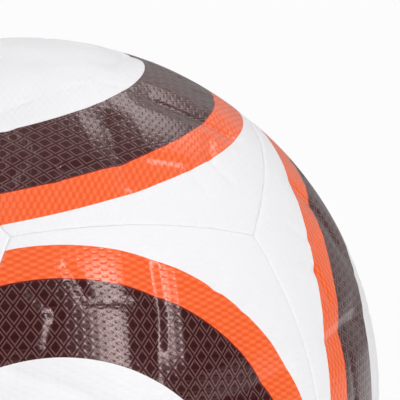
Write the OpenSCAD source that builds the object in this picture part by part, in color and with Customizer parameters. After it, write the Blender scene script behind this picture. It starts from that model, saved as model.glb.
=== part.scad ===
// Thermally bonded match ball: twelve moulded covers on foam, round a carcass and a bladder.
// Millimetres. The origin is the ball's centre and +Z is up. The front cover faces -Y with its
// upper edge level, and the valve is on +Y, in the middle of the rear cover.

/* [Ball] */
// Outside diameter of the inflated ball
ball_d = 220; // [200:0.5:226]
// Width of the joint between two neighbouring covers
seam_gap = 0.3; // [0.2:0.05:0.6]
// Width and depth of the bevel where a cover's edge rolls down into the seam
seam_roll = 1.5; // [0.8:0.1:2]

/* [Layers] */
// Thickness of the moulded outer skin
skin_t = 1.6; // [1.2:0.1:2.4]
// Thickness of the skin's turned-down rim
rim_t = 1.2; // [0.8:0.1:2]
// Thickness of the foam pad behind the skin
foam_t = 3.6; // [2.5:0.1:5]
// Thickness of the wound and laminated carcass
carcass_t = 1.4; // [0.8:0.1:2]
// Thickness of the bladder's wall
bladder_t = 0.9; // [0.6:0.1:1.6]

/* [Valve] */
// Diameter of the valve's neck where it shows in the rear cover
neck_d = 7; // [6:0.1:9]
// Clearance round the neck in each layer that it passes through
neck_clearance = 0.15; // [0.05:0.05:0.3]
// Depth of the valve's face below the ball's surface
neck_recess = 0.4; // [0.2:0.1:0.8]
// Diameter of the valve's stem inside the bladder
stem_d = 9; // [8:0.1:11]
// Length of the stem inside the flange
stem_len = 11; // [8:0.5:16]
// Diameter of the flange that seals to the bladder
flange_d = 30; // [22:0.5:36]
// Thickness of the flange
flange_t = 1.6; // [1:0.1:2.5]
// Diameter of the silicone plug that holds the needle
plug_d = 4.4; // [4:0.1:5]
// Diameter of the needle's channel in the plug
needle_d = 2; // [1.8:0.05:2.2]
// Length of the needle's channel
needle_len = 17; // [12:0.5:18]
// Diameter of the cord patch round the valve
patch_d = 42; // [38:0.5:50]
// Thickness of the cord patch
patch_t = 0.8; // [0.5:0.1:1.2]
// Diameter of the counterweight opposite the valve
weight_d = 34; // [24:0.5:40]
// Thickness of the counterweight
weight_t = 2.2; // [1.2:0.1:3]

/* [Hidden] */
SPOTS = [
    "front", "front_top", "front_upper_left", "front_lower_left", "front_lower_right",
    "front_upper_right", "rear", "rear_upper_left", "rear_upper_right", "rear_lower_right",
    "rear_bottom", "rear_lower_left"
];
COVERS = [for (spot = SPOTS) str("cover_", spot)];
PADS = [for (spot = SPOTS) str("foam_", spot)];

$fn = 96;
faces = 12;
sides = 5;
step_deg = 360 / sides;
half_faces = faces / 2;
rear = half_faces;

// Angles of a regular dodecahedron blown up into a sphere
edge_mid_deg = acos(1 / sqrt(3 - (1 + sqrt(5)) / 2));
ring_deg = 2 * edge_mid_deg;
edge_arc_deg = acos(sqrt(5) / 3);

ball_r = ball_d / 2;
foam_r = ball_r - skin_t;
carcass_r = foam_r - foam_t;
bladder_r = carcass_r - carcass_t;
inside_r = bladder_r - bladder_t;
patch_r = carcass_r + patch_t;
reach = 1.5 * ball_r;
roll_overrun_deg = 3;
lip = 1;
neck_hole_d = neck_d + 2 * neck_clearance;
face_r = ball_r - neck_recess;
stem_end_r = inside_r - flange_t - stem_len;
plug_face_r = face_r - neck_recess;
plug_foot_r = stem_end_r + lip;
needle_foot_r = max(plug_face_r - needle_len, plug_foot_r + lip);

cover_col = [0.94, 0.94, 0.94];
foam_col = [0.93, 0.90, 0.78];
bond_col = [0.75, 0.76, 0.78];
carcass_col = [0.82, 0.80, 0.74];
bladder_col = [0.16, 0.16, 0.17];
weight_col = [0.32, 0.20, 0.18];
valve_col = [0.10, 0.10, 0.11];
plug_col = [0.86, 0.30, 0.18];
patch_col = [0.55, 0.50, 0.42];

// Turns a child that faces +Z, with an edge's middle towards +X, to the place of face i
module on_face(i) {
    half = floor(i / half_faces);
    k = i % half_faces;
    rotate([90, 0, 0])
        rotate([0, 0, 90 + half * step_deg / 2])
            rotate([half * 180, 0, 0])
                if (k == 0) children();
                else rotate([0, 0, (k - 1) * step_deg])
                    rotate([0, ring_deg, 0])
                        rotate([0, 0, 180]) children();
}

// Turns a child so that its Z passes through the middle of edge k and its X points off the face
module on_edge(k) {
    rotate([0, 0, k * step_deg]) rotate([0, edge_mid_deg, 0]) children();
}

// A ball of radius r with its poles well away from the face that points along Z
module globe(r) {
    rotate([90, 0, 0]) sphere(r);
}

// The five-sided cone under one face, with its walls moved in by inset
module face_cone(inset) {
    intersection_for (k = [0 : sides - 1])
        on_edge(k) translate([-reach - inset, -reach, -reach]) cube([reach, 2 * reach, 2 * reach]);
}

// One layer of one face, from radius inner to radius outer
module tile(outer, inner, inset) {
    intersection() {
        difference() {
            globe(outer);
            globe(inner);
        }
        face_cone(inset);
    }
}

// A profile in radius and offset, carried along edge k and past its corners by overrun degrees
module along_edge(k, overrun) {
    arc_deg = edge_arc_deg + 2 * overrun;
    on_edge(k) rotate([0, 90, 0]) rotate([0, 0, 180 - arc_deg / 2])
        rotate_extrude(angle = arc_deg) children();
}

// Cuts the bevel that lets a cover's edge roll down into seam k
module edge_roll(k) {
    along_edge(k, roll_overrun_deg) polygon([
        [ball_r - seam_roll - lip / 2, lip / 2],
        [ball_r, -seam_gap / 2 - seam_roll],
        [ball_r + lip, -seam_gap / 2 - seam_roll],
        [ball_r + lip, lip / 2]
    ]);
}

// A hole along Z for the valve's neck
module neck_hole() {
    cylinder(d = neck_hole_d, h = reach);
}

// A moulded skin with its rim turned down round the foam
module cover(i) {
    color(cover_col) on_face(i) difference() {
        tile(ball_r, carcass_r, seam_gap / 2);
        tile(foam_r, carcass_r - lip, seam_gap / 2 + rim_t);
        for (k = [0 : sides - 1]) edge_roll(k);
        if (i == rear) neck_hole();
    }
}

// The foam pad that fills a cover's tray
module pad(i) {
    color(foam_col) on_face(i) difference() {
        tile(foam_r, carcass_r, seam_gap / 2 + rim_t);
        if (i == rear) {
            neck_hole();
            intersection() {
                globe(patch_r);
                cylinder(d = patch_d, h = reach);
            }
        }
    }
}

// One seam's film, which stops just short of the corners
module bond_strip(k) {
    along_edge(k, -atan(seam_gap / carcass_r))
        translate([carcass_r, -seam_gap / 2])
            square([ball_r - seam_roll - carcass_r, seam_gap]);
}

// The hot-melt film that stands in every seam, a strip for each edge
module seam_bond() {
    color(bond_col) {
        for (half = [0, rear]) {
            on_face(half) for (k = [0 : sides - 1]) bond_strip(k);
            for (i = [1 : sides]) on_face(half + i) bond_strip(1);
        }
        for (i = [1 : sides], k = [2, 3]) on_face(i) bond_strip(k);
    }
}

// The shell of wound thread that keeps the ball round
module carcass() {
    color(carcass_col) on_face(rear) difference() {
        globe(carcass_r);
        globe(bladder_r);
        neck_hole();
    }
}

// The air-tight rubber bladder
module bladder() {
    color(bladder_col) on_face(rear) difference() {
        globe(bladder_r);
        globe(inside_r);
        neck_hole();
    }
}

// A rubber pad inside the bladder that balances the valve
module counterweight() {
    color(weight_col) on_face(0) intersection() {
        difference() {
            globe(inside_r);
            globe(inside_r - weight_t);
        }
        cylinder(d = weight_d, h = reach);
    }
}

// Neck, flange and stem in one rubber moulding, with a pocket for the plug
module valve_body() {
    color(valve_col) on_face(rear) difference() {
        union() {
            translate([0, 0, inside_r - flange_t - lip])
                cylinder(d = neck_d, h = face_r - inside_r + flange_t + lip);
            intersection() {
                difference() {
                    globe(inside_r);
                    globe(inside_r - flange_t);
                }
                cylinder(d = flange_d, h = reach);
            }
            translate([0, 0, stem_end_r]) cylinder(d = stem_d, h = stem_len + lip);
        }
        translate([0, 0, plug_foot_r]) cylinder(d = plug_d, h = reach);
    }
}

// The silicone plug, with the needle's channel stopping short of its foot
module valve_plug() {
    color(plug_col) on_face(rear) difference() {
        translate([0, 0, plug_foot_r]) cylinder(d = plug_d, h = plug_face_r - plug_foot_r);
        translate([0, 0, needle_foot_r]) cylinder(d = needle_d, h = reach);
    }
}

// The cord patch on the carcass that spreads the valve's load
module valve_patch() {
    color(patch_col) on_face(rear) intersection() {
        difference() {
            globe(patch_r);
            globe(carcass_r);
            neck_hole();
        }
        cylinder(d = patch_d, h = reach);
    }
}

for (i = [0 : faces - 1]) cover(i);
for (i = [0 : faces - 1]) pad(i);
seam_bond();
carcass();
bladder();
counterweight();
valve_body();
valve_plug();
valve_patch();
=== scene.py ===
# %% [markdown]
# # Dressing a bonded match ball
# The ball is twelve moulded covers on foam, round a thread carcass and a rubber bladder. The
# packed model already holds every piece at its true size. This lesson gives the covers their
# rolled seams, pressed creases, fine grain and printed bands, and every other piece its finish.

import math

import bpy
import numpy as np
from mathutils import Matrix, Vector


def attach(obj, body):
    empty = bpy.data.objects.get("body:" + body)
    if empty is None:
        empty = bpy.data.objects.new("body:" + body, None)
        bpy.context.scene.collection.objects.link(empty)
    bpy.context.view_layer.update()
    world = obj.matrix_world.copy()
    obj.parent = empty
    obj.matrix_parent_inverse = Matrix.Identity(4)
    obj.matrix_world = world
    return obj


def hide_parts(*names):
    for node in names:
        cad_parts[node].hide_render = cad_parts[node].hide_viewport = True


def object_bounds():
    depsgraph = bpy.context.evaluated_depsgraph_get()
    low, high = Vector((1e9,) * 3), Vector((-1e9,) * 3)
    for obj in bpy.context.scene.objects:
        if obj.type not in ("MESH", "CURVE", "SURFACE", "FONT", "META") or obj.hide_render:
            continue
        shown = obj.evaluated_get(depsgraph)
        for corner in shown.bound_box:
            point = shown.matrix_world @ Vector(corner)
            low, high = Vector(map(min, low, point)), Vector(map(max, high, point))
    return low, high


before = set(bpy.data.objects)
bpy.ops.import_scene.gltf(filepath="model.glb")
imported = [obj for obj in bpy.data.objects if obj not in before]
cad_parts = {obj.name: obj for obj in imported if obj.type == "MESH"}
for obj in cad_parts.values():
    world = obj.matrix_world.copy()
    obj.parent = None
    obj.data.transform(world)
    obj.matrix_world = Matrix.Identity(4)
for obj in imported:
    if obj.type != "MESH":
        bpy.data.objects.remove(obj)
cad_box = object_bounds()

MM = 0.001
BALL_R = min(min(cad_box[1]), -max(cad_box[0])) / MM
print("ball radius in mm:", round(BALL_R, 3))

# %% [markdown]
# ## Camera
# The ball is seen from a little left of its front cover and a little above, through a long lens
# that holds only its upper right part. Lens shift could move the ball in the frame, but the
# camera is turned off the ball's centre instead, so the lens needs no shift. Its focal length
# follows from how large the ball's outline is to be.

# %% Camera
SENSOR = 36.0
CAM_AZIMUTH, CAM_ELEVATION, CAM_ROLL = -21.51, 4.46, 0.93
CAM_DISTANCE = 2.2
CAM_SEES_TO = 100
OUTLINE_R = 0.891                        # of the frame's width
CENTRE_LEFT, CENTRE_DOWN = 0.443, 0.484  # from the frame's middle, in frame widths


def aim_camera():
    """Camera on a circle round the ball: turned to face it, rolled, then yawed and pitched away.

    The outline of a ball of radius r seen from distance d is a circle of radius
    f / sqrt((d / r)^2 - 1) on the sensor, and that gives the focal length f.
    """
    focal = OUTLINE_R * math.sqrt((CAM_DISTANCE / (BALL_R * MM)) ** 2 - 1)
    data = bpy.data.cameras.new("camera")
    data.sensor_width = SENSOR
    data.lens = focal * SENSOR
    data.clip_end = CAM_SEES_TO
    cam = bpy.data.objects.new("camera", data)
    bpy.context.scene.collection.objects.link(cam)
    facing = (
        Matrix.Rotation(math.radians(CAM_AZIMUTH), 4, "Z")
        @ Matrix.Rotation(math.radians(90 - CAM_ELEVATION), 4, "X")
        @ Matrix.Rotation(math.radians(CAM_ROLL), 4, "Z")
    )
    place = facing @ Matrix.Translation((0, 0, CAM_DISTANCE))
    turn = Matrix.Rotation(-math.atan(CENTRE_LEFT / focal), 4, "Y")
    tilt = Matrix.Rotation(math.atan(CENTRE_DOWN / focal), 4, "X")
    cam.matrix_world = place @ turn @ tilt
    bpy.context.scene.camera = cam
    return data.lens


print("lens in mm:", round(aim_camera(), 1))

# %% [markdown]
# ## Where the covers lie
# The twelve covers are the faces of a regular dodecahedron blown up into a ball. A face is placed
# by three turns, the same that the construction uses: round the valve's axis, away from it, and
# half round for the rear six. Each face then has its own frame: Z out of its middle, and X
# towards the middle of one edge. Working out one cover in that frame and turning it to twelve
# places is shorter than modelling twelve, and makes them exactly alike.

# %% Face frames
SPOTS = [
    "front", "front_top", "front_upper_left", "front_lower_left", "front_lower_right",
    "front_upper_right", "rear", "rear_upper_left", "rear_upper_right", "rear_lower_right",
    "rear_bottom", "rear_lower_left",
]
SIDES = 5
STEP = 360 / SIDES
REAR = 6
GOLDEN = (1 + math.sqrt(5)) / 2
EDGE_MID = math.degrees(math.acos(1 / math.sqrt(3 - GOLDEN)))
CORNER = math.degrees(math.atan(math.tan(math.radians(EDGE_MID)) / math.cos(math.pi / SIDES)))


def turned(axis, degrees):
    """The 3 x 3 matrix that turns by this many degrees about one axis."""
    return np.array(Matrix.Rotation(math.radians(degrees), 3, axis))


def face_frame(i):
    """Columns X, Y, Z of face i: tip over, turn about the valve axis, flip the rear half, tilt."""
    half, k = divmod(i, REAR)
    m = turned("X", 90) @ turned("Z", 90 + half * STEP / 2) @ turned("X", 180 * half)
    if k:
        m = m @ turned("Z", (k - 1) * STEP) @ turned("Y", 2 * EDGE_MID) @ turned("Z", 180)
    return m


FACES = [face_frame(i) for i in range(len(SPOTS))]
print("degrees from a cover's middle to an edge:", round(EDGE_MID, 2), "corner:", round(CORNER, 2))

# %% [markdown]
# ## The flat cover
# A real cover is cut and printed flat before it's bonded on to the ball. The creases and the
# print could be projected on to the ball, but they would stretch towards the seam. So they are
# laid out on the flat cover, in millimetres from its middle, as they are in the works.

# %% Flat cover
TINY = 1e-12


def ball_to_flat(points):
    """Unrolls a face on to the plane: the angle from its middle becomes a radius in millimetres."""
    off_axis = np.hypot(points[..., 0], points[..., 1])
    scale = BALL_R * np.arctan2(off_axis, points[..., 2]) / np.maximum(off_axis, TINY)
    return points[..., 0] * scale, points[..., 1] * scale


print("flat mm from a cover's middle to an edge:", round(BALL_R * math.radians(EDGE_MID), 1))

# %% [markdown]
# ## Which way each cover's print turns
# All twelve covers carry the same print. Four corners of the ball, those of a tetrahedron, are
# the hubs of the pattern: each cover touches exactly one of them, and its print is turned so
# that the print's own corner lies there. That gives a regular layout without a list of turns.

# %% Print corners
TETRA_COS = -1 / 3       # the cosine of the angle between two corners of a tetrahedron
COS_SLACK = 0.01


def corner(i, k):
    """Corner k of face i, on the unit ball."""
    azimuth = math.radians((k + 0.5) * STEP)
    polar = math.radians(CORNER)
    local = [
        math.sin(polar) * math.cos(azimuth),
        math.sin(polar) * math.sin(azimuth),
        math.cos(polar),
    ]
    return FACES[i] @ np.array(local)


def hub_corners():
    """The front cover's upper right corner, and three corners as far from it as from each other."""
    hubs = [corner(0, SIDES - 1)]
    for i in range(len(SPOTS)):
        for k in range(SIDES):
            here = corner(i, k)
            if all(abs(here @ hub - TETRA_COS) < COS_SLACK for hub in hubs):
                hubs.append(here)
    return hubs


def print_turn(i):
    """Degrees from a face's X to the one of its corners that is a hub."""
    for k in range(SIDES):
        if any(corner(i, k) @ hub > 1 - COS_SLACK for hub in HUBS):
            return (k + 0.5) * STEP


HUBS = hub_corners()
PRINT_TURN = [print_turn(i) for i in range(len(SPOTS))]
print("hubs:", len(HUBS), "print turns:", [round(t) for t in PRINT_TURN])

# %% [markdown]
# ## Pressed creases
# Short furrows are pressed into the skin on a five-fold plan: dashes along the lines to the
# edges' middles, a ring of dashes across them, and short spokes outside the ring. They could be
# sculpted, or faked as a bump, but real dents also show at the ball's outline and in the mesh
# itself. So each is a height worked out at every point: a furrow is all that lies near a short
# line.

# %% Creases
CREASE_HALF_W, CREASE_ROUND = 2.8, 0.3

# Each crease: its middle out and across in mm, its turn in degrees, its length and its depth
CREASES = [
    (28.0, -1.4, -4, 10, 0.50),
    (41.5, -1.2, 3, 12, 0.45),
    (8.0, 1.2, 0, 8, 0.25),
    (36.5, 15.0, 88, 12, 0.50),
    (39.3, -16.5, 90, 10, 0.50),
    (43.5, 24.0, 26, 8, 0.45),
    (43.5, -23.8, -26, 8, 0.45),
]


def crease_depth(x, y):
    """Furrows with straight sides: each is deepest on a short line and fades out with distance.

    With s for sqrt(distance^2 + round^2), a furrow adds its depth times 1 - s / half width, and
    nothing further away.
    """
    depth = np.zeros_like(x)
    for side in range(SIDES):
        spin = math.radians(side * STEP)
        for out, across, turn, length, deep in CREASES:
            mid_x = out * math.cos(spin) - across * math.sin(spin)
            mid_y = out * math.sin(spin) + across * math.cos(spin)
            heading = spin + math.radians(turn)
            along = (x - mid_x) * math.cos(heading) + (y - mid_y) * math.sin(heading)
            beside = (y - mid_y) * math.cos(heading) - (x - mid_x) * math.sin(heading)
            past = np.maximum(np.abs(along) - length / 2, 0)
            away = np.sqrt(beside**2 + past**2 + CREASE_ROUND**2)
            depth += deep * np.maximum(1 - away / CREASE_HALF_W, 0)
    return depth


print("creases on a cover:", SIDES * len(CREASES))

# %% [markdown]
# ## Folds
# Between its creases the skin isn't quite round: it bends along the lines from the cover's
# middle to the middle of each edge, and light falls on the two sides of a bend differently. Each
# bend is a wide, shallow V. It fades in and out along its length instead of stopping short.

# %% Folds
FOLD_DEPTH, FOLD_HALF_W, FOLD_ROUND = 1.15, 9.0, 0.4
FOLD_FROM, FOLD_TO, FOLD_SOFT = 12.0, 54.0, 8.0


def fold_depth(x, y):
    """Five shallow V-shaped folds, one along the line to each edge's middle.

    The depth is the V across the line, times a straight rise at its start and fall at its end.
    """
    depth = np.zeros_like(x)
    for side in range(SIDES):
        spin = math.radians(side * STEP)
        out = x * math.cos(spin) + y * math.sin(spin)
        across = y * math.cos(spin) - x * math.sin(spin)
        start = np.clip((out - FOLD_FROM) / FOLD_SOFT, 0, 1)
        stop = np.clip((FOLD_TO - out) / FOLD_SOFT, 0, 1)
        away = np.sqrt(across**2 + FOLD_ROUND**2)
        depth += FOLD_DEPTH * start * stop * np.maximum(1 - away / FOLD_HALF_W, 0)
    return depth


fold_slope = math.degrees(math.atan(FOLD_DEPTH / FOLD_HALF_W))
print("slope of a fold's sides in degrees:", round(fold_slope, 1))

# %% [markdown]
# ## The skin's height
# At the seam the edge rolls down as a quarter round, and the whole cover is a little fuller in
# its middle than along its seams, because the bond pulls the foam down there. The rear cover
# rolls down at the valve's hole in the same way. Adding up four depths is simpler than bevelling
# and inflating a mesh. All of it goes inwards from the ball's true radius, so the ball never grows.

# %% Skin height
ROLL = 1.5
ROLL_DEPTH = 0.45
SWELL_DEPTH, SWELL_REACH = 0.35, 7.0
DEEPEST = 1.6


def seam_distance(points):
    """Millimetres from each point to the nearest of the five planes through the face's edges."""
    nearest = np.full(points.shape[:-1], np.inf)
    for k in range(SIDES):
        out = turned("Z", k * STEP) @ turned("Y", EDGE_MID) @ np.array([1.0, 0, 0])
        nearest = np.minimum(nearest, -BALL_R * (points @ out))
    return nearest


def skin_radius(points, hole_r):
    """The ball's radius, less the roll at the seam or hole, the swell's edge and the creases.

    The roll is a quarter circle, 1 - sqrt(1 - t^2), with t going from 0 where it starts to 1 at
    the edge. The swell's edge is exp(-distance / reach).
    """
    x, y = ball_to_flat(points)
    gap = np.maximum(seam_distance(points), 0)
    to_edge = np.minimum(gap, np.hypot(x, y) - hole_r) if hole_r else gap
    rolled = np.clip(1 - to_edge / ROLL, 0, 1)
    roll = ROLL_DEPTH * (1 - np.sqrt(1 - rolled**2))
    swell = SWELL_DEPTH * np.exp(-gap / SWELL_REACH)
    pressed = np.minimum(crease_depth(x, y) + fold_depth(x, y), DEEPEST)
    return BALL_R - roll - swell - pressed


middle = np.array([[0.0, 0.0, 1.0]])
print("skin radius at a cover's middle in mm:", round(float(skin_radius(middle, 0.0)[0]), 2))

# %% [markdown]
# ## Rings over a cover
# A cover's outline is five-sided, and a square grid would leave a ragged edge. So the grid is a
# set of rings round the middle, each one the outline drawn smaller. They lie closer together near
# the seam, where the edge rolls over. On the rear cover the rings turn into circles towards the
# valve's hole, and lie close together again on its rolled edge.

# %% Rings
AROUND = 480
TOUCH_INSET = 0.02
HOLE_R = 3.65
FINE_STEP, COARSE_STEP, STEP_GROWTH = 0.12, 0.66, 1.12
MIDDLE_INSET = BALL_R * math.radians(EDGE_MID)
HOLE_RINGS = np.linspace(0, ROLL, 8)     # mm out from the hole's edge


def ring_insets(hole_r):
    """Distances in from the seam: close together at the edge, even, and close again at a hole."""
    last = MIDDLE_INSET - (ROLL if hole_r else 0) - COARSE_STEP
    insets = [TOUCH_INSET]
    step = FINE_STEP
    while insets[-1] + step < last:
        insets.append(insets[-1] + step)
        step = min(step * STEP_GROWTH, COARSE_STEP)
    near_hole = MIDDLE_INSET - HOLE_RINGS if hole_r else []
    return np.array([*near_hole, *insets[::-1]])


def outline_ring(inset, hole_r):
    """A ring of directions: the outline at this inset, blended towards the hole's circle.

    Seen from the ball's centre on the plane z = 1, an edge is a straight line at the tangent of
    its angle from the middle, so the outline is that distance over the cosine of the angle off it.
    """
    azimuth = np.radians(np.arange(AROUND) * 360 / AROUND)
    off = (azimuth + math.pi / SIDES) % (2 * math.pi / SIDES) - math.pi / SIDES
    full = math.tan(math.radians(EDGE_MID))
    share = math.tan(math.radians(EDGE_MID) - inset / BALL_R) / full
    hole = hole_r / BALL_R
    reach = hole + share * (full / np.cos(off) - hole)
    ring = np.stack([reach * np.cos(azimuth), reach * np.sin(azimuth), np.ones(AROUND)], -1)
    return ring / np.linalg.norm(ring, axis=-1, keepdims=True)


print("rings on a skin:", len(ring_insets(0.0)), "with a hole:", len(ring_insets(HOLE_R)))

# %% [markdown]
# ## The tray
# A cover isn't a bare surface: its rim turns down round the foam, and it has an inner side. It
# could be a thin sheet with a Solidify modifier, but the rings just run on in one list: out over
# the skin, down the rim's outside, under it, up its inside and back along the inner side. So one
# closed sheet makes the whole tray. The inner side lies below the deepest crease.

# %% Tray
SEAM_INSET = 0.17
BOND_DEPTH = 1.5
TRAY_DEPTH = 5.2
RIM_T, RIM_RINGS = 1.2, 3
BACK_DEPTH, BACK_RINGS = 1.9, 9


def cover_rows(hole_r):
    """Every ring of the tray in order: out over the skin, down the rim, back along the inside."""
    skin = [outline_ring(inset, hole_r) for inset in ring_insets(hole_r)]
    rows = [ring * skin_radius(ring, hole_r)[:, None] for ring in skin]
    inner_r = BALL_R - TRAY_DEPTH
    edge = outline_ring(SEAM_INSET, hole_r)
    lip = outline_ring(SEAM_INSET + RIM_T, hole_r)
    rows += [edge * r for r in np.linspace(BALL_R - BOND_DEPTH, inner_r, RIM_RINGS)]
    rows += [lip * inner_r, lip * (BALL_R - BACK_DEPTH)]
    last = MIDDLE_INSET - (0 if hole_r else COARSE_STEP)
    back = np.linspace(SEAM_INSET + RIM_T, last, BACK_RINGS)[1:]
    rows += [outline_ring(inset, hole_r) * (BALL_R - BACK_DEPTH) for inset in back]
    return np.array(rows)


skin_rows = cover_rows(0.0)[:len(ring_insets(0.0))]
thinnest = float(np.linalg.norm(skin_rows, axis=-1).min()) - (BALL_R - BACK_DEPTH)
print("thinnest skin in mm:", round(thinnest, 2))

# %% [markdown]
# ## From rings to faces
# Neighbouring rings are joined by four-cornered faces. A plain cover's first and last rings are
# each closed by a fan of triangles. The rear cover's are joined to each other instead, which
# makes the wall of the valve's hole.

# %% Faces
NO_TRIS = np.zeros((0, 3), int)


def grid_faces(rows, around, wrap):
    """Four-cornered faces between neighbouring rings, and from the last ring to the first."""
    ring = np.arange(rows if wrap else rows - 1)[:, None]
    col = np.arange(around)[None, :]
    nxt = (ring + 1) % rows
    right = (col + 1) % around
    return np.stack(
        [ring * around + col, nxt * around + col, nxt * around + right, ring * around + right],
        axis=-1,
    ).reshape(-1, 4)


def closing_fans(rows):
    """A middle point for the skin and one for its inner side, and the triangles round them."""
    top = len(rows) * AROUND
    bottom = top + 1
    first = rows[0].mean(axis=0)
    first = first / np.linalg.norm(first) * np.linalg.norm(rows[0], axis=-1).mean()
    col = np.arange(AROUND)
    right = (col + 1) % AROUND
    last = top - AROUND
    tris = np.vstack([
        np.stack([np.full(AROUND, top), col, right], axis=-1),
        np.stack([np.full(AROUND, bottom), last + right, last + col], axis=-1),
    ])
    return [first, [0, 0, BALL_R - BACK_DEPTH]], tris


print("faces between two rings:", len(grid_faces(2, AROUND, wrap=False)))

# %% [markdown]
# ## A mesh object
# Every new piece goes into Blender through this one function. Its points are already in their
# final place, so the object sits at the origin, unturned. A flat cover's coordinates go along
# as a UV map, for the print to read.

# %% Mesh object
def mesh_piece(name, points, quads, tris, material, flat=None):
    """A mesh object at the origin, smooth shaded, with an optional flat map of its points."""
    mesh = bpy.data.meshes.new(name)
    faces = quads.tolist() + tris.tolist()
    mesh.from_pydata((points * MM).tolist(), [], faces)
    mesh.polygons.foreach_set("use_smooth", np.ones(len(faces), bool))
    if flat is not None:
        loops = np.empty(len(mesh.loops), np.int32)
        mesh.loops.foreach_get("vertex_index", loops)
        layer = mesh.uv_layers.new(name="flat")
        layer.data.foreach_set("uv", flat[loops].astype(np.float32).ravel())
    mesh.update()
    mesh.materials.append(material)
    piece = bpy.data.objects.new(name, mesh)
    bpy.context.scene.collection.objects.link(piece)
    return piece


print("ready to make pieces, at", MM, "m to a mm")

# %% [markdown]
# ## A small kit for finishes: wiring
# Every finish is worked out by nodes. They could be wired by hand in the editor, but a finish
# reads best as a formula, so a small kit adds one node a line. It is built up in three steps. The
# first holds the node tree: numbers and colours are set on sockets, and nodes are linked to them.

# %% Wiring
class Wiring:
    """A material's node tree, with its main shader and ways to add and link nodes."""

    def __init__(self, name):
        self.material = bpy.data.materials.new(name)
        self.material.use_nodes = True
        self.tree = self.material.node_tree
        self.tree.nodes.clear()
        self.shader = self.add("ShaderNodeBsdfPrincipled")
        self.out = self.add("ShaderNodeOutputMaterial")
        self.surface(self.shader.outputs[0])

    def add(self, kind, **settings):
        """A new node of this kind with its settings."""
        node = self.tree.nodes.new(kind)
        for key, value in settings.items():
            setattr(node, key, value)
        return node

    def link(self, source, socket):
        """Links a node's output, or sets a plain number or colour."""
        if isinstance(source, bpy.types.NodeSocket):
            self.tree.links.new(source, socket)
        else:
            socket.default_value = source

    def surface(self, shader):
        """Makes this shader what the material shows."""
        self.link(shader, self.out.inputs["Surface"])

    def set(self, **sockets):
        """Sets or links the main shader's sockets by name."""
        for key, value in sockets.items():
            self.link(value, self.shader.inputs[key.replace("_", " ")])


print("wiring:", ", ".join(name for name in vars(Wiring) if name[0] != "_"))

# %% [markdown]
# ## A small kit for finishes: sums
# The second step is what a pattern is worked out with: sums on numbers and on places, the place
# of a point on its piece, and waves and noise.

# %% Sums
class Sums(Wiring):
    """Adds the nodes that work with numbers and places."""

    def number(self, operation, a, b=0.0):
        """A sum on two numbers."""
        node = self.add("ShaderNodeMath", operation=operation)
        self.link(a, node.inputs[0])
        self.link(b, node.inputs[1])
        return node.outputs[0]

    def vector(self, operation, a, b=(0, 0, 0)):
        """A sum on two places, or a number such as the distance between them."""
        node = self.add("ShaderNodeVectorMath", operation=operation)
        self.link(a, node.inputs[0])
        self.link(b, node.inputs[1])
        short = operation in ("DISTANCE", "DOT_PRODUCT", "LENGTH")
        return node.outputs["Value" if short else "Vector"]

    def split(self, vector):
        """A place's three numbers."""
        node = self.add("ShaderNodeSeparateXYZ")
        self.link(vector, node.inputs[0])
        return node.outputs

    def place(self):
        """The point's own place on the object, in metres."""
        return self.add("ShaderNodeTexCoord").outputs["Object"]

    def wave(self, value, pitch):
        """A cosine of the given pitch."""
        return self.number("COSINE", self.number("MULTIPLY", value, 2 * math.pi / pitch))

    def noise(self, where, scale, detail):
        """Cloudy noise from 0 to 1: a larger scale is finer."""
        node = self.add("ShaderNodeTexNoise")
        self.link(where, node.inputs["Vector"])
        node.inputs["Scale"].default_value = scale
        node.inputs["Detail"].default_value = detail
        return node.outputs[0]


print("sums:", ", ".join(name for name in vars(Sums) if name[0] != "_"))

# %% [markdown]
# ## A small kit for finishes: steps, blends and bump
# The third step turns a pattern into a look: a soft step where an ink or a floor starts, a blend
# of two colours, numbers or shaders, and a bump that tilts the surface.

# %% Finish kit
class Finish(Sums):
    """Adds the nodes that turn a pattern into colour, gloss and bump."""

    def ramp(self, value, low, high):
        """0 at low, 1 at high, and a soft step between them. Low may be the larger of the two."""
        node = self.add("ShaderNodeMapRange", interpolation_type="SMOOTHSTEP")
        self.link(value, node.inputs["Value"])
        node.inputs["From Min"].default_value = low
        node.inputs["From Max"].default_value = high
        return node.outputs["Result"]

    def span(self, share, low, high):
        """A number that goes from low to high as share goes from 0 to 1."""
        node = self.add("ShaderNodeMapRange")
        self.link(share, node.inputs["Value"])
        node.inputs["To Min"].default_value = low
        node.inputs["To Max"].default_value = high
        return node.outputs["Result"]

    def blend(self, share, a, b):
        """Colour a where share is 0 and colour b where it is 1."""
        node = self.add("ShaderNodeMix", data_type="RGBA")
        self.link(share, node.inputs["Factor"])
        self.link(a, node.inputs["A"])
        self.link(b, node.inputs["B"])
        return next(o for o in node.outputs if o.type == "RGBA")

    def mix(self, share, a, b):
        """Shader a where share is 0 and shader b where it is 1."""
        node = self.add("ShaderNodeMixShader")
        for source, socket in zip((share, a, b), node.inputs):
            self.link(source, socket)
        return node.outputs[0]

    def bump(self, height, metres):
        """Tilts the surface as a height of 0 to 1, worth this many metres, would."""
        node = self.add("ShaderNodeBump")
        self.link(height, node.inputs["Height"])
        node.inputs["Distance"].default_value = metres
        node.inputs["Strength"].default_value = 1.0
        return node.outputs[0]


print("looks:", ", ".join(name for name in vars(Finish) if name[0] != "_"))

# %% [markdown]
# ## Colours
# Colours are easiest to name as a screen shows them, from 0 to 255. Shaders work in linear light,
# so each one is converted by the standard curve of screens.

# %% Colours
def colour(red, green, blue):
    """A screen colour from 0 to 255, as the linear colour that the shaders work in."""

    def linear(c):
        c /= 255
        return c / 12.92 if c <= 0.04045 else ((c + 0.055) / 1.055) ** 2.4

    return (linear(red), linear(green), linear(blue), 1.0)


print("a screen grey of 128 in linear light:", round(colour(128, 128, 128)[0], 3))

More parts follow.
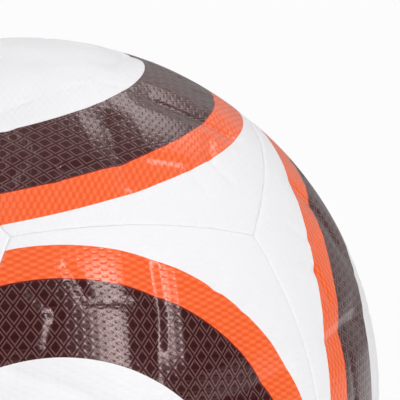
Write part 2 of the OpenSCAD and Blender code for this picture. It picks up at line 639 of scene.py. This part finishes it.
# %% [markdown]
# ## The flat map
# The print needs to know where each point lay on the flat cover. Each cover's map is turned so
# that its hub corner lies on +X, and so one material, drawn once, serves all twelve. A UV map
# runs from 0 to 1: the millimetres are scaled into that square, and back out in the material.

# %% Flat map
FLAT_SPAN = 150.0
FLAT_MIDDLE = 0.5


def flat_map(points, turn):
    """The flat cover turned so that the print's corner is on +X, scaled into a 0 to 1 square."""
    spun = points @ turned("Z", turn)
    x, y = ball_to_flat(spun)
    return np.stack([x, y], axis=-1) / FLAT_SPAN + FLAT_MIDDLE


def flat_place(f):
    """The material's way back from the map to millimetres on the flat cover."""
    uv = f.add("ShaderNodeUVMap", uv_map="flat").outputs[0]
    centred = f.vector("SUBTRACT", uv, (FLAT_MIDDLE, FLAT_MIDDLE, 0))
    return f.vector("MULTIPLY", centred, (FLAT_SPAN,) * 3)


cover_across = 2 * BALL_R * math.radians(CORNER)
print("mm across the map:", FLAT_SPAN, "across a cover at most:", round(cover_across, 1))

# %% [markdown]
# ## Grain and lozenges
# The mould leaves a fine grain in the skin, like rows of tiny bricks, each row half a brick on
# from the last. Two crossed waves multiplied give just that, with soft edges. The dark print
# also carries thin lozenge outlines on the same rows. Both could be image textures, but as
# formulas of the place on the flat cover they stay sharp at any distance.

# %% Grain and lozenges
GRAIN_W, GRAIN_H = 4.8, 2.15
LOZENGE_W, LOZENGE_H = GRAIN_W, 3 * GRAIN_H
WHOLE_STEPS = 1000       # moves the pattern by whole lozenges, so that no remainder is negative


def lozenges(f, flat):
    """Diamonds that fill the plane: 0 in a diamond's middle, 1 where it meets its neighbours.

    The sum of the distances across and along from the nearest middle, each as a share of half a
    diamond. The middles are two grids, the second one half a step on from the first.
    """
    size = (LOZENGE_W, LOZENGE_H, 1)
    half = tuple(side / 2 for side in size)

    def spread(shift):
        """The sum for one grid of middles, moved on by this much."""
        far = (WHOLE_STEPS * size[0] + shift[0], WHOLE_STEPS * size[1] + shift[1], 0)
        cell = f.vector("MODULO", f.vector("ADD", flat, far), size)
        local = f.vector("ABSOLUTE", f.vector("SUBTRACT", cell, half))
        return f.vector("DOT_PRODUCT", local, (1 / half[0], 1 / half[1], 0))

    return f.number("MINIMUM", spread((0, 0)), spread(half))


def grain_waves(f, lattice):
    """Pebbles like tiny bricks: two crossed waves multiplied, 1 on a top and -1 in a gap."""
    x, y, _ = f.split(lattice)
    return f.number("MULTIPLY", f.wave(x, GRAIN_W), f.wave(y, GRAIN_H))


print("grain in mm:", GRAIN_W, "x", GRAIN_H, "lozenges:", LOZENGE_W, "x", round(LOZENGE_H, 2))

# %% [markdown]
# ## The inks
# The skin is white polyurethane. Each cover is printed with one plain arched stripe, an orange
# line along the outside of a broad plum one. Its edges are three circles round one centre, so
# the stripe keeps its width, and it arches towards the print's own corner. The two inks overlap
# in a thin darker line. The orange is painted lighter on the grain's tops and darker in its gaps,
# a painted highlight and painted shade; the plum carries the lozenges as thin paler outlines.

# %% Inks
WHITE = colour(240, 239, 241)
# the first orange is the ink with a painted highlight on the grain's tops, the second the ink with
# painted shade in its gaps
ORANGE, ORANGE_PAINTED_SHADE = colour(255, 119, 67), colour(244, 92, 38)
PLUM = colour(52, 8, 10)
OUTLINE = colour(118, 84, 82)
OVERPRINT = colour(120, 24, 22)

ARCH_CENTRE = (-50.0, 0, 0)
OUTER_R, MIDDLE_R, INNER_R = 95.0, 84.0, 60.0
EDGE_SOFT = 0.07
OVERLAP_FULL, OVERLAP_END = 0.1, 0.35    # mm to each side of the line between the inks
# where on the grain's waves the orange's painted shade ends and its painted highlight starts
PAINTED_SHADE_AT, PAINTED_LIGHT_AT = -0.6, 0.9             # on the grain's waves
LINE_AT, LINE_HALF, LINE_SOFT, LINE_SHARE = 0.74, 0.10, 0.05, 0.8


def inks(f, lattice, grain, outer, middle, inner):
    """The colour, from outside in: white, orange, the overlap's line, plum, and white again.

    Outer, middle and inner are how far inside each of the three circles a point lies, so a
    colour starts where its distance passes 0.
    """
    off_line = f.number("ABSOLUTE", f.number("SUBTRACT", lozenges(f, lattice), LINE_AT))
    on_line = f.ramp(off_line, LINE_HALF + LINE_SOFT, LINE_HALF - LINE_SOFT)
    # the orange ink with painted shade in the grain's gaps and a painted highlight on its tops
    orange = f.blend(f.ramp(grain, PAINTED_SHADE_AT, PAINTED_LIGHT_AT), ORANGE_PAINTED_SHADE, ORANGE)
    plum = f.blend(f.number("MULTIPLY", on_line, LINE_SHARE), PLUM, OUTLINE)
    overlap = f.ramp(f.number("ABSOLUTE", middle), OVERLAP_END, OVERLAP_FULL)
    tone = f.blend(f.ramp(outer, -EDGE_SOFT, EDGE_SOFT), WHITE, orange)
    tone = f.blend(f.ramp(middle, -EDGE_SOFT, EDGE_SOFT), tone, plum)
    tone = f.blend(overlap, tone, OVERPRINT)
    return f.blend(f.ramp(inner, -EDGE_SOFT, EDGE_SOFT), tone, WHITE)


print("stripe in mm: orange", OUTER_R - MIDDLE_R, "plum", MIDDLE_R - INNER_R)

# %% [markdown]
# ## The printed skin
# Bare skin is satin, and ink is glossier, with a faint warm sheen, so roughness and shine change
# where the print starts. The grain's relief is a bump and not geometry, because it's only
# hundredths of a millimetre deep: it shows in the highlights, and in the orange as painted light.

# %% Printed skin
LATTICE_TURN = 54.0
GRAIN_DEPTH = 0.00006
GAP_FLOOR, GAP_RIM = -1.0, 0.0           # on the grain's waves
INK_EDGE = 0.2
BARE_ROUGH, INK_ROUGH = 0.5, 0.22
BARE_SHINE, INK_SHINE = 0.3, 0.55
PLAIN_TINT, SHEEN = (1, 1, 1, 1), (1.0, 0.80, 0.80, 1)


def skin_finish():
    """White, orange and plum print under a satin coat, with pebbled grain in the normals."""
    f = Finish("printed_skin")
    flat = flat_place(f)
    turn = f.add("ShaderNodeVectorRotate", rotation_type="Z_AXIS")
    f.link(flat, turn.inputs["Vector"])
    turn.inputs["Angle"].default_value = math.radians(LATTICE_TURN)
    lattice = turn.outputs[0]
    grain = grain_waves(f, lattice)

    reach = f.vector("DISTANCE", flat, ARCH_CENTRE)
    outer = f.number("SUBTRACT", OUTER_R, reach)
    middle = f.number("SUBTRACT", MIDDLE_R, reach)
    inner = f.number("SUBTRACT", INNER_R, reach)
    inked = f.number("MULTIPLY", f.ramp(outer, 0, INK_EDGE), f.ramp(inner, 0, -INK_EDGE))
    f.set(
        Base_Color=inks(f, lattice, grain, outer, middle, inner),
        Roughness=f.span(inked, BARE_ROUGH, INK_ROUGH),
        Specular_IOR_Level=f.span(inked, BARE_SHINE, INK_SHINE),
        Specular_Tint=f.blend(inked, PLAIN_TINT, SHEEN),
        Normal=f.bump(f.ramp(grain, GAP_FLOOR, GAP_RIM), GRAIN_DEPTH),
    )
    return f.material


SKIN = skin_finish()
print("nodes in the skin:", len(SKIN.node_tree.nodes))

# %% [markdown]
# ## Twelve covers
# The same function makes all twelve. Only the turn of the print and the valve's hole differ. Each
# one takes the place of its plain solid and rides on the ball's one body.

# %% Covers
def add_cover(i, spot):
    """The tray's rings, closed at both middles by a fan, or by the hole's wall on the rear one."""
    hole_r = HOLE_R if spot == "rear" else 0.0
    rows = cover_rows(hole_r)
    points = rows.reshape(-1, 3)
    quads = grid_faces(len(rows), AROUND, wrap=hole_r > 0)
    tris = NO_TRIS
    if hole_r == 0:
        middles, tris = closing_fans(rows)
        points = np.vstack([points, *middles])
    flat = flat_map(points, PRINT_TURN[i])
    piece = mesh_piece("skin_" + spot, points @ FACES[i].T, quads, tris, SKIN, flat)
    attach(piece, "root")
    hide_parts("cover_" + spot)
    return len(quads) * 2 + len(tris)


triangles = [add_cover(i, spot) for i, spot in enumerate(SPOTS)]
print("triangles in the covers:", sum(triangles), "largest:", max(triangles))

# %% [markdown]
# ## Finishes inside the ball
# The pieces inside keep their solids, whose shape is right, and get finishes of their own. Foam,
# film and rubber are one colour that mottles a little, which noise gives at a grain to fit each.
# The carcass is wound thread and the valve's patch is cord cloth: two sets of waves that cross
# give the threads, without a separate strand having to be modelled.

# %% Inner finishes
NOISE_DETAIL = 4.0
DARK_AT, LIGHT_AT = 0.3, 0.7             # on the noise
GROOVE_AT, CREST_AT = -0.5, 0.9          # on the threads' waves
THREAD_ROUGH, THREAD_LIFT = 0.8, 0.0002


def plain_finish(name, base, dark, rough, grain, metres):
    """One colour broken up by noise at the given grain, which also lifts the surface."""
    f = Finish(name)
    mottle = f.noise(f.place(), grain, NOISE_DETAIL)
    f.set(
        Base_Color=f.blend(f.ramp(mottle, DARK_AT, LIGHT_AT), colour(*dark), colour(*base)),
        Roughness=rough,
        Normal=f.bump(mottle, metres),
    )
    return f.material


def thread_finish(name, base, dark, pitch):
    """Two sets of crossing thread waves, as on wound yarn: the higher of the two is on top."""
    f = Finish(name)
    x, y, z = f.split(f.place())
    lean = f.number("ADD", x, z)
    rise = f.number("SUBTRACT", z, y)
    weave = f.number("MAXIMUM", f.wave(lean, pitch), f.wave(rise, pitch))
    f.set(
        Base_Color=f.blend(f.ramp(weave, GROOVE_AT, CREST_AT), colour(*dark), colour(*base)),
        Roughness=THREAD_ROUGH,
        Normal=f.bump(weave, THREAD_LIFT),
    )
    return f.material


# Each: the finish's name, its colour and its dark colour, roughness, noise scale, and lift in m
PLAIN = {
    "foam": ("foam", (236, 230, 205), (206, 198, 168), 0.9, 900, 0.0002),
    "seam_bond": ("film", (226, 226, 228), (205, 205, 208), 0.5, 400, 0.0001),
    "bladder": ("butyl", (42, 42, 44), (28, 28, 30), 0.45, 120, 0.0001),
    "counterweight": ("pad", (92, 58, 52), (66, 42, 38), 0.6, 300, 0.0001),
    "valve_body": ("valve", (38, 38, 40), (26, 26, 28), 0.4, 500, 0.0001),
    "valve_plug": ("plug", (214, 84, 52), (190, 66, 40), 0.3, 500, 0.00005),
}
# Each: the finish's name, its colour and its dark colour, and the threads' pitch in m
THREADED = {
    "carcass": ("thread", (215, 208, 190), (150, 142, 122), 0.0012),
    "valve_patch": ("cord_cloth", (150, 136, 110), (98, 86, 66), 0.0008),
}
INNER = {kind: plain_finish(*values) for kind, values in PLAIN.items()}
INNER.update({kind: thread_finish(*values) for kind, values in THREADED.items()})
print("inner finishes:", len(INNER))

# %% [markdown]
# ## Dressing the inner pieces
# Each finish goes on to the solid from the packed model. The twelve foam pads share one,
# because they are cut from the same sheet.

# %% Inner pieces
dressed = 0
for node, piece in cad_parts.items():
    kind = "foam" if node.startswith("foam_") else node
    if kind in INNER:
        piece.data.materials.clear()
        piece.data.materials.append(INNER[kind])
        dressed += 1
print("dressed inside:", dressed)

# %% [markdown]
# ## The floor
# The ball stands on a plain white floor that takes its shadow. Lamps strong enough to bring the
# whole floor up to white would burn out the ball. So further off the floor glows softly instead,
# but only to the camera and in mirrored and clear surfaces. Seen from below it is clear, so that
# the ball's underside can be looked at.

# %% Floor
FLOOR_SIZE = 60.0
FLOOR_WHITE, FLOOR_ROUGH, FLOOR_SHINE = (0.9, 0.9, 0.9, 1), 0.9, 0.1
GLOW_FROM, GLOW_FULL = 0.15, 0.8         # m from the spot under the ball
BACKDROP = 0.972


def floor_finish():
    """Matt white near the ball, where the shadow falls, and plain white further off."""
    f = Finish("floor_white")
    f.set(Base_Color=FLOOR_WHITE, Roughness=FLOOR_ROUGH, Specular_IOR_Level=FLOOR_SHINE)
    level = f.vector("MULTIPLY", f.place(), (1, 1, 0))
    away = f.ramp(f.vector("LENGTH", level), GLOW_FROM, GLOW_FULL)
    path = f.add("ShaderNodeLightPath").outputs
    seen = f.number("MAXIMUM", path["Is Camera Ray"], path["Is Glossy Ray"])
    seen = f.number("MAXIMUM", seen, path["Is Transmission Ray"])
    glow = f.add("ShaderNodeEmission")
    glow.inputs["Strength"].default_value = BACKDROP
    top = f.mix(f.number("MULTIPLY", away, seen), f.shader.outputs[0], glow.outputs[0])
    clear = f.add("ShaderNodeBsdfTransparent").outputs[0]
    below = f.add("ShaderNodeNewGeometry").outputs["Backfacing"]
    f.surface(f.mix(below, top, clear))
    return f.material


half_floor = FLOOR_SIZE / 2 / MM
floor_z = cad_box[0].z / MM
floor_points = np.array([
    [-half_floor, -half_floor, floor_z],
    [half_floor, -half_floor, floor_z],
    [half_floor, half_floor, floor_z],
    [-half_floor, half_floor, floor_z],
])
floor = mesh_piece("floor", floor_points, np.array([[0, 1, 2, 3]]), NO_TRIS, floor_finish())
print("floor in mm: z", round(floor_z, 2))

# %% [markdown]
# ## The sky
# A glossy ball mirrors all that surrounds it. The sky is pale to the camera, but for light it is
# dim in front of the ball and brighter above and behind it, as in a room with one bright end.
# That keeps the dark print dark in front while the ball's outline stays light.

# %% Sky
# Each: a direction, how far a ray leans towards it where the fade starts and ends, and the levels
ROOM = ((-0.1, 0.75, 0.65), (-0.6, 0.9), (0.14, 0.66))
BEHIND = ((0.37, 0.93, -0.05), (0.8, 0.95), (0.0, 0.4))
FADE_SOCKETS = ("From Min", "From Max", "To Min", "To Max")


def sky():
    """Light at the room's level, except where a ray sees the backdrop.

    The camera sees the backdrop everywhere. Glossy and clear surfaces see a share of it behind
    the ball, with a soft edge, and the room elsewhere.
    """
    world = bpy.data.worlds.new("sky")
    bpy.context.scene.world = world
    world.use_nodes = True
    tree = world.node_tree
    tree.nodes.clear()
    coord = tree.nodes.new("ShaderNodeTexCoord")

    def towards(direction, leans, levels):
        """A level that grows softly as a ray leans more towards this direction."""
        lean = tree.nodes.new("ShaderNodeVectorMath")
        lean.operation = "DOT_PRODUCT"
        tree.links.new(coord.outputs["Generated"], lean.inputs[0])
        lean.inputs[1].default_value = Vector(direction).normalized()
        fade = tree.nodes.new("ShaderNodeMapRange")
        fade.interpolation_type = "SMOOTHSTEP"
        tree.links.new(lean.outputs["Value"], fade.inputs["Value"])
        for name, value in zip(FADE_SOCKETS, (*leans, *levels)):
            fade.inputs[name].default_value = value
        return fade.outputs["Result"]

    def join(operation, a, b):
        """A sum on two levels, either of which may be a plain number."""
        node = tree.nodes.new("ShaderNodeMath")
        node.operation = operation
        for socket, value in zip(node.inputs, (a, b)):
            if isinstance(value, float):
                socket.default_value = value
            else:
                tree.links.new(value, socket)
        return node.outputs[0]

    path = tree.nodes.new("ShaderNodeLightPath").outputs
    mirror = join("MAXIMUM", path["Is Glossy Ray"], path["Is Transmission Ray"])
    mirrored = join("MULTIPLY", mirror, towards(*BEHIND))
    seen = join("MAXIMUM", path["Is Camera Ray"], mirrored)
    lit = join("MULTIPLY", towards(*ROOM), join("SUBTRACT", 1.0, seen))
    level = join("MAXIMUM", lit, join("MULTIPLY", seen, BACKDROP))
    back = tree.nodes.new("ShaderNodeBackground")
    back.inputs["Color"].default_value = (1, 1, 1, 1)
    tree.links.new(level, back.inputs["Strength"])
    out = tree.nodes.new("ShaderNodeOutputWorld")
    tree.links.new(back.outputs[0], out.inputs["Surface"])
    return len(tree.nodes)


print("nodes in the sky:", sky())

# %% [markdown]
# ## The lamps
# Three soft lamps light the ball. A tall narrow one to the right in front draws the upright streak
# that gloss shows in the dark print. A smaller one above and behind picks out the folds near the
# top, and a large one high on the left fills the white covers evenly. Each is placed by how far
# it lies to the right, up and towards the camera, as lamps are set up round a subject.

# %% Lamps
# Each: name, direction to the right, up and towards the camera, distance, size, and watts
LAMPS = [
    ("strip", (0.48, 0.34, 0.84), 1.6, (0.18, 1.5), 14.5),
    ("top", (0.30, 0.85, -0.40), 1.5, (0.5, 0.5), 2.4),
    ("left", (-0.5, 0.85, 0.2), 1.6, (0.9, 0.9), 5),
]


def lamp(name, direction, distance, size, watts):
    """A soft rectangular lamp at this distance, facing the ball's centre."""
    azimuth = math.radians(CAM_AZIMUTH)
    right = Vector((math.cos(azimuth), math.sin(azimuth), 0))
    back = Vector((math.sin(azimuth), -math.cos(azimuth), 0))
    place = right * direction[0] + Vector((0, 0, direction[1])) + back * direction[2]
    place = place.normalized() * distance
    data = bpy.data.lights.new(name, "AREA")
    data.shape = "RECTANGLE"
    data.size, data.size_y = size
    data.energy = watts
    light = bpy.data.objects.new(name, data)
    bpy.context.scene.collection.objects.link(light)
    light.location = place
    light.rotation_euler = (-place).to_track_quat("-Z", "Y").to_euler()


for values in LAMPS:
    lamp(*values)
bpy.context.scene.view_settings.view_transform = "Standard"
print("lamps:", len(LAMPS), "watts in all:", round(sum(values[-1] for values in LAMPS), 1))

# %% [markdown]
# ## The construction's box
# The construction's box is written down, with the ball's radius taken from it. The dressed
# ball has to lie inside the construction's box.

# %% Finish
print("cad box:", [list(c) for c in cad_box])
